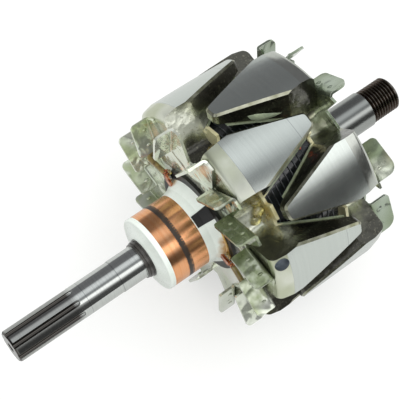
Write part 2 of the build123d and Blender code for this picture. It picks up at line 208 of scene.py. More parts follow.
def ground_steel(name, bright, dark, roughness, line_mm, spread, marks=()):
    """Steel ground between centres: bright, with fine lines round it that draw its gloss out along it."""
    material, tree, shader, place = new_material(
        name, {"Metallic": 1.0, "Anisotropic": spread, "Anisotropic Rotation": 0.25})
    # a grinding line runs sixty times further round the shaft than along it
    grain = add(tree, "ShaderNodeVectorMath", {
        0: place, 1: (1, 1 / 60, 1 / 60)}, operation="MULTIPLY").outputs[0]
    lines = add(tree, "ShaderNodeTexNoise", {
        "Vector": grain, "Scale": 1 / (line_mm * MM), "Detail": 2.0}).outputs[0]
    tone = add(tree, "ShaderNodeMapRange", {0: lines, 1: 0.3, 2: 0.7}).outputs[0]
    colour = add(tree, "ShaderNodeMix", {0: tone, 6: dark, 7: bright}, data_type="RGBA").outputs[2]
    along = add(tree, "ShaderNodeSeparateXYZ", {0: place}).outputs[0]
    for at in marks:
        # a faint ring where the wheel stopped, a third of a millimetre wide so that it shows
        off = add(tree, "ShaderNodeMath", {0: along, 1: at, 2: 0.17 * MM}, operation="COMPARE").outputs[0]
        faint = add(tree, "ShaderNodeMath", {0: off, 1: 0.35}, operation="MULTIPLY").outputs[0]
        colour = add(tree, "ShaderNodeMix", {
            0: faint, 6: colour, 7: "#70757A"}, data_type="RGBA").outputs[2]
    cloud = add(tree, "ShaderNodeTexNoise", {
        "Vector": place, "Scale": 1 / (7 * MM), "Detail": 3.0}).outputs[0]
    finish_with(tree, shader, {
        "Base Color": colour,
        "Roughness": add(tree, "ShaderNodeMapRange", {
            0: cloud, 1: 0.3, 2: 0.7, 3: roughness - 0.02, 4: roughness + 0.03}).outputs[0],
        "Tangent": add(tree, "ShaderNodeTangent", direction_type="RADIAL", axis="X").outputs[0],
        "Normal": add(tree, "ShaderNodeBump", {"Height": lines, "Distance": 0.0002 * MM}).outputs[0]})
    return material, tree, shader, place, colour


def shaft_steel():
    """The shaft's ground steel: bright, with a greyer drive seat, painted shade in the flutes and a
    brown-black thread.
    """
    gloss, seat_gloss = 0.13, 0.24
    marks = (SLIP_FACE - 62.3 * MM, SLIP_FACE - 46.5 * MM)
    material, tree, shader, place, colour = ground_steel(
        "ground_shaft_steel", "#D2D5D2", "#C5C8C5", gloss, 0.5, 0.5, marks)
    along, radius = about_shaft(tree, place)
    # the thread is rolled after heat treatment and keeps its oxide, most of all below the crests
    is_thread = add(tree, "ShaderNodeMapRange", {
        0: along, 1: THREAD_START - 0.5 * MM, 2: THREAD_START + 0.3 * MM}).outputs[0]
    is_root = add(tree, "ShaderNodeMapRange", {
        0: radius, 1: THREAD_R, 2: THREAD_R - 0.25 * MM, 3: 0.8, 4: 1.0}).outputs[0]
    oxide = add(tree, "ShaderNodeMath", {0: is_thread, 1: is_root}, operation="MULTIPLY").outputs[0]
    # painted shade: the milled flutes are darkened towards their bottoms
    is_fluted = add(tree, "ShaderNodeMapRange", {
        0: along, 1: FLUTES_END + 1.3 * MM, 2: FLUTES_END - 1.7 * MM}).outputs[0]
    is_low = add(tree, "ShaderNodeMapRange", {0: radius, 1: 7.42 * MM, 2: 7.15 * MM, 4: 0.9}).outputs[0]
    painted_flute_shade = add(tree, "ShaderNodeMath", {0: is_fluted, 1: is_low}, operation="MULTIPLY").outputs[0]
    # the long drive-end seat is ground coarser and greyer than the rest
    is_seat = add(tree, "ShaderNodeMapRange", {0: along, 1: -3 * MM, 2: 0.0}).outputs[0]
    for share, code in ((is_seat, "#A0A3A0"), (painted_flute_shade, "#38302A"), (oxide, "#4C4038")):
        colour = add(tree, "ShaderNodeMix", {0: share, 6: colour, 7: code}, data_type="RGBA").outputs[2]
    rough = add(tree, "ShaderNodeMapRange", {0: is_seat, 3: gloss, 4: seat_gloss}).outputs[0]
    finish_with(tree, shader, {"Base Color": colour, "Roughness": rough})
    return material


def forged_pole_steel_with_painted_shade():
    """Forged steel, plated and dipped in dark varnish: silvery olive low down, dark on the sides with varnish
    and painted shade.
    """
    material, tree, shader, place = new_material(
        "varnished_forged_steel_and_painted_shade", {"Coat Weight": 0.8, "Coat Roughness": 0.08})
    along, radius = about_shaft(tree, place)
    runs = add(tree, "ShaderNodeTexNoise", {
        "Vector": place, "Scale": 1 / (9 * MM), "Detail": 2.0}).outputs[0]
    # the varnish drains off the valleys and builds up on the claws' sides, and painted shade darkens those
    # sides between the claws too: darker from 30 to 47 mm from the shaft
    ragged = 3.5 * MM
    shift = add(tree, "ShaderNodeMapRange", {0: runs, 1: 0.35, 2: 0.65, 3: -ragged, 4: ragged}).outputs[0]
    depth = add(tree, "ShaderNodeMath", {0: radius, 1: shift}, operation="ADD").outputs[0]
    share = add(tree, "ShaderNodeMapRange", {0: depth, 1: 30 * MM, 2: 47 * MM}).outputs[0]
    # it drained thin in three places of the slip end's valleys, and pooled where the upper one is lowest
    for middle, r_mm, thinner in (
            (polar(42, 64, SLIP_FACE + 5 * MM), 20, 0.9), (polar(47, 149, SLIP_FACE + 13 * MM), 10, 0.6),
            (polar(36, 163, SLIP_FACE + 8 * MM), 12, 0.9), (polar(34, 69, SLIP_FACE + 7 * MM), 11, -1.9)):
        thin = nearness(tree, place, middle, r_mm, 0.4, thinner)
        share = add(tree, "ShaderNodeMath", {0: share, 1: thin}, operation="SUBTRACT").outputs[0]
    # it is thinner on the slip end's face towards the rim, and thicker near the drive end's face
    face = add(tree, "ShaderNodeMapRange", {
        0: along, 1: SLIP_FACE + 9 * MM, 2: SLIP_FACE + 3 * MM, 4: 0.2}).outputs[0]
    outer = add(tree, "ShaderNodeMapRange", {0: radius, 1: 41 * MM, 2: 46 * MM, 4: 2.0}).outputs[0]
    face = add(tree, "ShaderNodeMath", {0: face, 1: outer}, operation="MULTIPLY").outputs[0]
    share = add(tree, "ShaderNodeMath", {0: share, 1: face}, operation="SUBTRACT").outputs[0]
    thick = add(tree, "ShaderNodeMapRange", {
        0: along, 1: DRIVE_FACE - 14 * MM, 2: DRIVE_FACE - 6 * MM, 4: 0.2}).outputs[0]
    share = add(tree, "ShaderNodeMath", {0: share, 1: thick}, operation="ADD").outputs[0]
    colour = add(tree, "ShaderNodeValToRGB", {"Fac": share}, stops=[
        (0.0, "#E6E9D8"), (0.3, "#CDD1B9"), (0.55, "#94967C"), (0.8, "#66665A"),
        (1.0, "#4E4D44")]).outputs[0]
    swirl = add(tree, "ShaderNodeTexNoise", {
        "Vector": place, "Scale": 1 / (4 * MM), "Detail": 1.0, "Distortion": 0.8}).outputs[0]
    grit = add(tree, "ShaderNodeTexNoise", {
        "Vector": place, "Scale": 1 / (0.9 * MM), "Detail": 2.0}).outputs[0]
    speck = add(tree, "ShaderNodeMapRange", {0: grit, 1: 0.58, 2: 0.7, 4: 0.6}).outputs[0]
    colour = add(tree, "ShaderNodeMix", {0: speck, 6: colour, 7: "#8D8A78"}, data_type="RGBA").outputs[2]
    wavy = add(tree, "ShaderNodeBump", {"Height": runs, "Distance": 0.5 * MM}).outputs[0]
    wavy = add(tree, "ShaderNodeBump", {"Height": swirl, "Distance": 0.18 * MM, "Normal": wavy}).outputs[0]
    gritty = add(tree, "ShaderNodeBump", {"Height": grit, "Distance": 0.03 * MM, "Normal": wavy}).outputs[0]
    finish_with(tree, shader, {
        "Base Color": colour, "Normal": gritty, "Coat Normal": wavy,
        "Metallic": add(tree, "ShaderNodeMapRange", {0: share, 2: 0.5, 3: 0.5, 4: 0.95}).outputs[0],
        "Roughness": add(tree, "ShaderNodeMapRange", {0: share, 3: 0.16, 4: 0.28}).outputs[0]})
    return material


def plated_steel(name, stops, roughness, patch_mm, wave_mm, coat=0.0, metal=1.0):
    """Zinc plate with a yellow-green passivate: bright metal, a wavy gloss and soft coloured blushes."""
    # a thick film scatters some light, and is that much less metal
    material, tree, shader, place = new_material(
        name, {"Metallic": metal, "Coat Weight": coat, "Coat Roughness": 0.05})
    patch = add(tree, "ShaderNodeTexNoise", {
        "Vector": place, "Scale": 1 / (patch_mm * MM), "Detail": 1.0}).outputs[0]
    wave = add(tree, "ShaderNodeTexNoise", {
        "Vector": place, "Scale": 1 / (patch_mm * 0.6 * MM), "Detail": 0.5, "Distortion": 0.6}).outputs[0]
    fine = add(tree, "ShaderNodeTexNoise", {
        "Vector": place, "Scale": 1 / (1.5 * MM), "Detail": 2.0}).outputs[0]
    colour = add(tree, "ShaderNodeValToRGB", {"Fac": patch}, stops=stops).outputs[0]
    finish_with(tree, shader, {
        "Base Color": colour,
        "Roughness": add(tree, "ShaderNodeMapRange", {
            0: fine, 1: 0.3, 2: 0.7, 3: roughness - 0.03, 4: roughness + 0.06}).outputs[0],
        "Normal": add(tree, "ShaderNodeBump", {"Height": wave, "Distance": wave_mm * MM}).outputs[0],
        "Coat Normal": add(tree, "ShaderNodeBump", {"Height": patch, "Distance": wave_mm * MM}).outputs[0]})
    return material, tree, shader, place, colour


def fan_sheet(name, stops, film, darker, paler):
    """A fan's plated sheet: glossy pale green, with painted shade and painted light on some blades, peach
    blushes and painted shade in its corners.
    """
    material, tree, shader, place, colour = plated_steel(name, stops, 0.13, 13.0, 1.3, 0.6, film)
    # heat from welding leaves a few peach blushes
    warm = add(tree, "ShaderNodeTexNoise", {
        "Vector": place, "Scale": 1 / (19 * MM), "Detail": 1.0}).outputs[0]
    warm = add(tree, "ShaderNodeMapRange", {0: warm, 1: 0.66, 2: 0.8, 4: 0.3}).outputs[0]
    colour = add(tree, "ShaderNodeMix", {0: warm, 6: colour, 7: "#D3A07C"}, data_type="RGBA").outputs[2]
    # painted shade on some blades, then painted light and highlights on others
    colour = stained(tree, place, colour, "#78845C", darker)
    colour = stained(tree, place, colour, "#F0F4E0", paler)
    # painted shade: the bends, corners and gaps between blades are darkened where little light reaches
    corner = add(tree, "ShaderNodeAmbientOcclusion", {"Distance": 6 * MM}, samples=8).outputs["AO"]
    corner = add(tree, "ShaderNodeMapRange", {0: corner, 1: 0.8, 2: 0.3, 4: 0.7}).outputs[0]
    colour = add(tree, "ShaderNodeMix", {0: corner, 6: colour, 7: "#4E5838"}, data_type="RGBA").outputs[2]
    finish_with(tree, shader, {"Base Color": colour})
    return material


def turned_copper():
    """Turned and brush-worn copper: orange metal with faint darker tracks round it."""
    material, tree, shader, place = new_material(
        "turned_copper", {"Metallic": 1.0, "Anisotropic": 0.5, "Anisotropic Rotation": 0.25})
    grain = add(tree, "ShaderNodeVectorMath", {
        0: place, 1: (1, 1 / 90, 1 / 90)}, operation="MULTIPLY").outputs[0]
    tracks = add(tree, "ShaderNodeTexNoise", {
        "Vector": grain, "Scale": 1 / (1.1 * MM), "Detail": 2.0}).outputs[0]
    cloud = add(tree, "ShaderNodeTexNoise", {
        "Vector": place, "Scale": 1 / (8 * MM), "Detail": 1.0}).outputs[0]
    worn = add(tree, "ShaderNodeMapRange", {0: tracks, 1: 0.3, 2: 0.7}).outputs[0]
    colour = add(tree, "ShaderNodeMix", {0: worn, 6: "#EFA672", 7: "#F7BD90"}, data_type="RGBA").outputs[2]
    dull = add(tree, "ShaderNodeMapRange", {0: cloud, 1: 0.5, 2: 0.7, 4: 0.25}).outputs[0]
    colour = add(tree, "ShaderNodeMix", {0: dull, 6: colour, 7: "#C98654"}, data_type="RGBA").outputs[2]
    finish_with(tree, shader, {
        "Base Color": colour,
        "Roughness": add(tree, "ShaderNodeMapRange", {
            0: cloud, 1: 0.3, 2: 0.7, 3: 0.22, 4: 0.27}).outputs[0],
        "Tangent": add(tree, "ShaderNodeTangent", direction_type="RADIAL", axis="X").outputs[0],
        "Normal": add(tree, "ShaderNodeBump", {"Height": tracks, "Distance": 0.00006 * MM}).outputs[0]})
    return material


def patchy(name, constants, patch_mm, detail, stops, smooth, rough, swell_mm=0.0):
    """Skin whose colour, gloss and low swell go from patch to patch."""
    material, tree, shader, place = new_material(name, constants)
    patch = add(tree, "ShaderNodeTexNoise", {
        "Vector": place, "Scale": 1 / (patch_mm * MM), "Detail": detail}).outputs[0]
    finish_with(tree, shader, {
        "Base Color": add(tree, "ShaderNodeValToRGB", {"Fac": patch}, stops=stops).outputs[0],
        "Roughness": add(tree, "ShaderNodeMapRange", {0: patch, 3: smooth, 4: rough}).outputs[0],
        "Normal": add(tree, "ShaderNodeBump", {"Height": patch, "Distance": swell_mm * MM}).outputs[0]})
    return material


def moulding(name, pale, dark, roughness, cloud_mm, grain_mm=0.02, coat=0.0, stain=None, spots=()):
    """Moulded or wound insulation: an even colour, a faint cloud and a fine grain that dulls its gloss."""
    material, tree, shader, place = new_material(
        name, {"IOR": 1.5, "Coat Weight": coat, "Coat Roughness": 0.06})
    cloud = add(tree, "ShaderNodeTexNoise", {
        "Vector": place, "Scale": 1 / (cloud_mm * MM), "Detail": 3.0}).outputs[0]
    grain = add(tree, "ShaderNodeTexNoise", {
        "Vector": place, "Scale": 1 / (0.7 * MM), "Detail": 2.0}).outputs[0]
    share = add(tree, "ShaderNodeMapRange", {0: cloud, 1: 0.35, 2: 0.7}).outputs[0]
    colour = add(tree, "ShaderNodeMix", {0: share, 6: pale, 7: dark}, data_type="RGBA").outputs[2]
    finish_with(tree, shader, {
        "Base Color": stained(tree, place, colour, stain, spots),
        "Roughness": add(tree, "ShaderNodeMapRange", {
            0: grain, 1: 0.3, 2: 0.7, 3: roughness - 0.04, 4: roughness + 0.06}).outputs[0],
        "Normal": add(tree, "ShaderNodeBump", {"Height": grain, "Distance": grain_mm * MM}).outputs[0]})
    return material


def show(piece, *materials):
    """Gives a piece or a CAD node its materials, in slot order."""
    piece.data.materials.clear()
    for material in materials:
        piece.data.materials.append(material)


def linked(name, data):
    """Object in the scene, with its data."""
    piece = bpy.data.objects.new(name, data)
    bpy.context.scene.collection.objects.link(piece)
    return piece


def new_piece(name, shape, smooth_angle=28):
    """Object from a bmesh, shaded smooth up to an angle, with its place in its mesh."""
    mesh = bpy.data.meshes.new(name)
    shape.to_mesh(mesh)
    shape.free()
    piece = linked(name, mesh)
    mesh.polygons.foreach_set("use_smooth", [True] * len(mesh.polygons))
    mesh.set_sharp_from_angle(angle=radians(smooth_angle))
    return piece


def turned_piece(name, start, profile):
    """Piece turned about the shaft from a closed profile of (x from the start, radius) in millimetres."""
    shape = bmesh.new()
    ring = [shape.verts.new((start + x * MM, r * MM, 0)) for x, r in profile]
    edges = [shape.edges.new((ring[i - 1], ring[i])) for i in range(len(ring))]
    bmesh.ops.spin(shape, geom=ring + edges, cent=(0, 0, 0), axis=(1, 0, 0), angle=2 * pi, steps=96)
    bmesh.ops.remove_doubles(shape, verts=shape.verts, dist=0.001 * MM)
    bmesh.ops.recalc_face_normals(shape, faces=shape.faces)
    return new_piece(name, shape)


def welded_copy(node):
    """Copy of a CAD node's mesh with its triangles welded and its flats made whole."""
    shape = bmesh.new()
    shape.from_mesh(frame["nodes"][node].data)
    for layer in list(shape.loops.layers.float_vector.values()):
        shape.loops.layers.float_vector.remove(layer)
    bmesh.ops.remove_doubles(shape, verts=shape.verts, dist=0.002 * MM)
    bmesh.ops.dissolve_limit(shape, angle_limit=radians(0.6), verts=shape.verts, edges=shape.edges)
    piece = new_piece(node + "_finished", shape)
    for name in ("custom_normal", "sharp_face"):
        if name in piece.data.attributes:
            piece.data.attributes.remove(piece.data.attributes[name])
    return piece


def round_edges(piece, width, edge_slot=None):
    """Rounds the sharp edges of a piece, with an edge material where one is given."""
    bevel = piece.modifiers.new("rounded edges", "BEVEL")
    bevel.limit_method = "ANGLE"
    bevel.angle_limit = radians(32)
    bevel.width = width
    bevel.segments = 2
    bevel.harden_normals = True
    if edge_slot is not None:
        bevel.material = edge_slot


def keep(piece, slot, *replaced):
    """The finished piece rides with the rotor in place of any CAD nodes named. The slot is not used."""
    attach(piece, "root")
    if replaced:
        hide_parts(*replaced)


def grown(name, start, tree, values):
    """Plain mesh piece that a Geometry Nodes tree makes from a start mesh and its named values."""
    piece = linked(name, start)
    growth = piece.modifiers.new(tree.name, "NODES")
    growth.node_group = tree
    for socket in tree.interface.items_tree:
        if socket.in_out == "INPUT" and socket.name in values:
            growth[socket.identifier] = values[socket.name]
    mesh = bpy.data.meshes.new_from_object(piece.evaluated_get(bpy.context.evaluated_depsgraph_get()))
    piece.modifiers.remove(growth)
    piece.data = mesh
    return piece


def growing_tree(name, sizes, material):
    """Empty Geometry Nodes tree with a start mesh, sizes and a material to give it, and those inputs."""
    tree = bpy.data.node_groups.new(name, "GeometryNodeTree")
    tree.interface.new_socket("Start", in_out="INPUT", socket_type="NodeSocketGeometry")
    for size in sizes:
        tree.interface.new_socket(size, in_out="INPUT", socket_type="NodeSocketFloat")
    tree.interface.new_socket(material, in_out="INPUT", socket_type="NodeSocketMaterial")
    tree.interface.new_socket("Geometry", in_out="OUTPUT", socket_type="NodeSocketGeometry")
    return tree, add(tree, "NodeGroupInput").outputs


def dressed_output(tree, grown_form, material):
    """Ends a tree: its form made real, shaded smooth and given its material."""
    real = add(tree, "GeometryNodeRealizeInstances", {0: grown_form})
    smooth = add(tree, "GeometryNodeSetShadeSmooth", {0: real.outputs[0]})
    dressed = add(tree, "GeometryNodeSetMaterial", {0: smooth.outputs[0], "Material": material})
    add(tree, "NodeGroupOutput", {0: dressed.outputs[0]})
    return tree


def pip_tree():
    """Tree that presses a rounded pip through the sheet at each point, turned by the point's angle."""
    tree, given = growing_tree("pressed pips", ("Length", "Width", "Depth"), "Metal")
    ball = add(tree, "GeometryNodeMeshUVSphere", {"Segments": 12, "Rings": 8, "Radius": 0.5})
    turn = add(tree, "GeometryNodeInputNamedAttribute", {"Name": "turn"}, data_type="FLOAT")
    about = add(tree, "ShaderNodeCombineXYZ", {0: turn.outputs["Attribute"]}).outputs[0]
    size = add(tree, "ShaderNodeCombineXYZ", {0: given["Length"], 1: given["Width"], 2: given["Depth"]})
    pips = add(tree, "GeometryNodeInstanceOnPoints", {
        "Points": given["Start"], "Instance": ball.outputs["Mesh"], "Scale": size.outputs[0],
        "Rotation": add(tree, "FunctionNodeEulerToRotation", {0: about}).outputs[0]})
    return dressed_output(tree, pips.outputs[0], given["Metal"])


def cord_tree():
    """Tree that lays a cord round the winding in close turns, each a little out of line with the last."""
    tree, given = growing_tree("binding cord", (
        "Turns", "Coil radius", "Coil length", "Coil front", "Cord radius", "Slack"), "Cord")
    path = add(tree, "GeometryNodeCurveSpiral", {
        "Resolution": 64, "Rotations": given["Turns"], "Start Radius": given["Coil radius"],
        "End Radius": given["Coil radius"], "Height": given["Coil length"]})
    front = add(tree, "ShaderNodeCombineXYZ", {0: given["Coil front"]}).outputs[0]
    laid = add(tree, "GeometryNodeTransform", {
        "Geometry": path.outputs[0], "Translation": front, "Rotation": (0, pi / 2, 0)})
    here = add(tree, "GeometryNodeInputPosition").outputs[0]
    stray = add(tree, "ShaderNodeTexNoise", {"Vector": here, "Scale": 70.0, "Detail": 1.0}).outputs["Color"]
    stray = add(tree, "ShaderNodeVectorMath", {
        0: stray, 1: (0.5, 0.5, 0.5)}, operation="SUBTRACT").outputs[0]
    stray = add(tree, "ShaderNodeVectorMath", {
        0: stray, "Scale": given["Slack"]}, operation="SCALE").outputs[0]
    loose = add(tree, "GeometryNodeSetPosition", {"Geometry": laid.outputs[0], "Offset": stray})
    ring = add(tree, "GeometryNodeCurvePrimitiveCircle", {"Resolution": 6, "Radius": given["Cord radius"]})
    body = add(tree, "GeometryNodeCurveToMesh", {
        "Curve": loose.outputs[0], "Profile Curve": ring.outputs["Curve"], "Fill Caps": True})
    return dressed_output(tree, body.outputs[0], given["Cord"])


def pip_places(blades, back, up):
    """Mesh of points in the blades' sheet near their bends, two to a blade, each with its blade's angle."""
    angles, outer_r, lean, length = blades
    points, turns = [], []
    for angle in angles:
        way = Vector((0, cos(radians(angle + lean)), sin(radians(angle + lean))))
        through = Vector((0, -way.z, way.y))
        outer = polar(outer_r, angle, back + up * PIP_RISE * MM)
        for share in PIP_SHARES:
            points.append(outer - way * length * MM * share + through * SHEET_T / 2)
            turns.append(radians(angle + lean))
    mesh = bpy.data.meshes.new("pip places")
    mesh.from_pydata(points, [], [])
    mesh.attributes.new("turn", "FLOAT", "POINT").data.foreach_set("value", turns)
    return mesh


def tube_along(name, points, radii):
    """Smooth round bar through points, with a radius at each."""
    curve = bpy.data.curves.new(name, "CURVE")
    curve.dimensions = "3D"
    spline = curve.splines.new("NURBS")
    spline.points.add(len(points) - 1)
    for knot, point, radius in zip(spline.points, points, radii):
        knot.co = (*point, 1.0)
        knot.radius = radius
    spline.order_u = 3
    spline.use_endpoint_u = True
    spline.resolution_u = 6
    curve.bevel_depth = 1.0
    curve.bevel_resolution = 2
    curve.use_fill_caps = True
    holder = linked(name, curve)
    mesh = bpy.data.meshes.new_from_object(holder.evaluated_get(bpy.context.evaluated_depsgraph_get()))
    bpy.data.objects.remove(holder)
    piece = linked(name, mesh)
    mesh.polygons.foreach_set("use_smooth", [True] * len(mesh.polygons))
    return piece


def drop(shape, middle, out, size_mm, flat=0.5):
    """Adds a lumpy drop to a bmesh, flattened against the surface that it lies on."""
    lie = out.to_track_quat("Z", "Y").to_matrix()
    for vert in bmesh.ops.create_icosphere(shape, subdivisions=3, radius=1.0)["verts"]:
        lump = 1 + 0.35 * noise.noise(vert.co * 1.3 + middle * 900)
        local = Vector((vert.co.x * size_mm, vert.co.y * size_mm * 0.8, vert.co.z * size_mm * flat))
        vert.co = middle + lie @ (local * lump * MM)


class RotorFinish(bpy.types.PropertyGroup):
    """Colours and edge sizes of the rotor's metal."""
    claw_colour: FloatVectorProperty(
        name="Ground claws", description="Colour of the ground claw faces", subtype="COLOR",
        size=4, min=0, max=1, default=linear("#D0D6D1"))
    pole_edge: FloatProperty(
        name="Pole edges", description="Radius of the poles' worn edges", unit="LENGTH",
        default=0.22 * MM, min=0.02 * MM, max=1 * MM, precision=5)
    sheet_edge: FloatProperty(
        name="Sheet edges", description="Radius of the fans' pressed edges", unit="LENGTH",
        default=0.16 * MM, min=0.02 * MM, max=0.5 * MM, precision=5)


class RotorDetail(bpy.types.PropertyGroup):
    """Sizes of the small forms."""
    pip_length: FloatProperty(
        name="Pip length", description="Length of the stiffening pips pressed in each blade", unit="LENGTH",
        default=3.0 * MM, min=0.5 * MM, max=5 * MM, precision=5)
    cord_radius: FloatProperty(
        name="Cord radius", description="Radius of the cord that binds the winding", unit="LENGTH",
        default=0.3 * MM, min=0.1 * MM, max=0.4 * MM, precision=5)
    cord_turns: IntProperty(
        name="Cord turns", description="Turns of cord that bind the winding", default=10, min=2, max=40)


class RotorStage(bpy.types.PropertyGroup):
    """Studio round the rotor."""
    floor_half: FloatProperty(
        name="Floor half width", description="Half the floor's width", unit="LENGTH",
        default=12.0, min=1, max=50)
    lamp_power: FloatProperty(
        name="Lamp power", description="Power of the overhead lamp", subtype="POWER",
        default=3.0, min=0, max=500)


class ROTOR_OT_shaft(bpy.types.Operator):
    """Finish the shaft and the spacer in ground steel, with a dark thread and painted shade in the flutes"""
    bl_idname = "rotor.shaft"
    bl_label = "Shaft"

    def execute(self, context):
        spacer_steel = ground_steel("turned_spacer_steel", "#B9BDB4", "#A4A89E", 0.3, 0.6, 0.3)[0]
        for node, material, edge in (
                ("shaft", shaft_steel(), 0.12 * MM), ("drive_spacer", spacer_steel, 0.4 * MM)):
            piece = welded_copy(node)
            show(piece, material)
            round_edges(piece, edge)
            keep(piece, "ground_steel", node)
        return {"FINISHED"}


class ROTOR_OT_poles(bpy.types.Operator):
    """Finish the two claw poles: ground faces, plated shoulders, worn edges and varnished sides darkened with
    painted shade
    """
    bl_idname = "rotor.poles"
    bl_label = "Claw poles"

    def execute(self, context):
        finish = context.scene.rotor_finish
        body = forged_pole_steel_with_painted_shade()
        bright = tuple(finish.claw_colour)
        dark = tuple(share * 0.95 for share in bright[:3]) + (1.0,)
        # worn edges show olive grey, and the drilled hole is a clean bluish grey
        edge = plated_steel("worn_edge_steel", [(0.35, "#86876F"), (0.65, "#B0B1A0")], 0.22, 5.0, 0.04)[0]
        drilled = plated_steel("drilled_steel", [(0.35, "#B4BBC2"), (0.65, "#CDD2D6")], 0.4, 2.0, 0.03)[0]
        # the slip end's shoulders are satin cream-green, the drive end's a glossy silver
        satin = [(0.35, "#C8CDB4"), (0.65, "#E2E5D7")]
        silver = [(0.3, "#CBCEC7"), (0.7, "#BDC0B9")]
        # the grinding wheel left two marks round the slip end's claws
        wheel_marks = (SLIP_FACE + SHOULDER_LENGTH, -29.45 * MM)
        ground_slot, edge_slot, shoulder_slot, drilled_slot = 1, 2, 3, 4
        for node, face_x, stops, gloss, marks in (
                ("pole_slip_end", SLIP_FACE, satin, 0.34, wheel_marks),
                ("pole_drive_end", DRIVE_FACE, silver, 0.16, ())):
            ground = ground_steel(node + "_ground_steel", bright, dark, 0.21, 0.7, 0.6, marks)[0]
            shoulder = plated_steel(node + "_shoulder_plate", stops, gloss, 12.0, 0.06)[0]
            piece = welded_copy(node)
            show(piece, body, ground, edge, shoulder, drilled)
            for face in piece.data.polygons:
                corners = [piece.data.vertices[v].co for v in face.vertices]
                lowest = min(corner.yz.length for corner in corners)
                from_face = [abs(corner.x - face_x) for corner in corners]
                from_hole = max((corner - BALANCE_HOLE).length for corner in corners)
                if from_hole < BALANCE_HOLE_REACH and lowest < ROTOR_R - 4 * MM:
                    face.material_index = drilled_slot
                elif lowest > ROTOR_R - 0.03 * MM:
                    face.material_index = ground_slot
                elif lowest > ROTOR_R - 1.4 * MM and min(from_face) > SHOULDER_LENGTH:
                    face.material_index = edge_slot
                elif lowest > ROTOR_R - 6 * MM and max(from_face) < SHOULDER_LENGTH + 0.3 * MM:
                    face.material_index = shoulder_slot
            round_edges(piece, finish.pole_edge, edge_slot)
            keep(piece, "plated_pole", node)
        show(frame["nodes"]["pole_core"], body)
        return {"FINISHED"}


class ROTOR_OT_winding(bpy.types.Operator):
    """Finish the coil and its wrap, bind it with cord, and finish the bobbin with its tabs and petals"""
    bl_idname = "rotor.winding"
    bl_label = "Winding"

    def execute(self, context):
        detail = context.scene.rotor_detail
        # near-black tape and cord with a wet gloss, over orange-brown wire
        tape = moulding("varnished_tape", "#141617", "#26292B", 0.18, 4.0, 0.12, 1.0)
        cord = moulding("varnished_cord", "#1C2022", "#454C50", 0.14, 5.0, 0.05, 1.0)
        enamel = moulding("enamelled_wire", "#8A3B1E", "#A9512C", 0.3, 1.0)
        show(frame["nodes"]["coil_wrap"], tape)
        show(frame["nodes"]["field_coil"], enamel)
        cord_r = detail.cord_radius
        binding = grown("binding_cord", bpy.data.meshes.new("no start"), cord_tree(), {
            "Turns": float(detail.cord_turns), "Coil radius": COIL_R + cord_r * 0.6,
            "Coil front": COIL_FRONT + 2 * cord_r, "Coil length": COIL_BACK - COIL_FRONT - 4 * cord_r,
            "Cord radius": cord_r, "Slack": 2.4 * MM, "Cord": cord})
        keep(binding, "black_insulation")

        # cream nylon with amber runs on three tabs, green-grey petals under varnish and paler rims
        tab_x = SLIP_FACE + 13.7 * MM
        amber = [(polar(37, 130, tab_x), 5.5), (polar(41, 10, tab_x), 5.0), (polar(41, 250, tab_x), 5.0)]
        cream = moulding("cream_nylon", "#DDD7AE", "#C9C294", 0.3, 6.0, 0.04, 0.6, "#B8983E", amber)
        petal = moulding("varnished_nylon_petal", "#8C957A", "#5F6448", 0.25, 5.0, 0.04, 0.8)
        rim = moulding("pale_nylon_edge", "#B0BB9C", "#8B9780", 0.3, 4.0, 0.03, 0.4)
        piece = welded_copy("coil_bobbin")
        show(piece, cream, petal, rim)
        for face in piece.data.polygons:
            middle = face.center
            out = Vector((0, middle.y, middle.z))
            is_between = COIL_FRONT + 0.2 * MM < middle.x < COIL_BACK - 0.2 * MM
            if out.length > COIL_R + 0.3 * MM and is_between:
                face.material_index = 1 if abs(face.normal.dot(out.normalized())) > 0.75 else 2
        keep(piece, "cream_bobbin", "coil_bobbin")

        # a lip of a petal stands out from under the upper drive-end claw
        lip = bmesh.new()
        outline = [lip.verts.new(polar(r_mm, angle, x_mm * MM)) for x_mm, r_mm, angle in (
            (-38.9, 47.0, 79.5), (-35.7, 46.6, 80.8), (-31.8, 45.5, 82.7), (-28.3, 44.3, 84.6),
            (-25.1, 43.2, 86.4), (-28.6, 42.4, 85.2), (-31.9, 42.2, 83.8), (-35.1, 42.6, 82.2),
            (-37.7, 44.5, 80.6))]
        front = lip.verts.new(polar(44.3, 84.0, -33.0 * MM))
        back = lip.verts.new(polar(44.3, 82.0, -33.0 * MM))
        for index, vert in enumerate(outline):
            lip.faces.new((outline[index - 1], vert, front))
            lip.faces.new((vert, outline[index - 1], back))
        lip = new_piece("petal_lip", lip, 50)
        show(lip, rim)
        keep(lip, "cream_bobbin")
        # an end of red enamelled wire shows by the next claw
        wire_end = tube_along("wire_end", [
            polar(36.9, 102.5, -23.9 * MM), polar(37.5, 105.5, -25.2 * MM),
            polar(36.9, 108.5, -26.6 * MM)], [0.55 * MM] * 3)
        show(wire_end, moulding("red_wire_enamel", "#C4583A", "#96351C", 0.25, 2.0, 0.02, 0.8))
        keep(wire_end, "copper_wire")
        return {"FINISHED"}


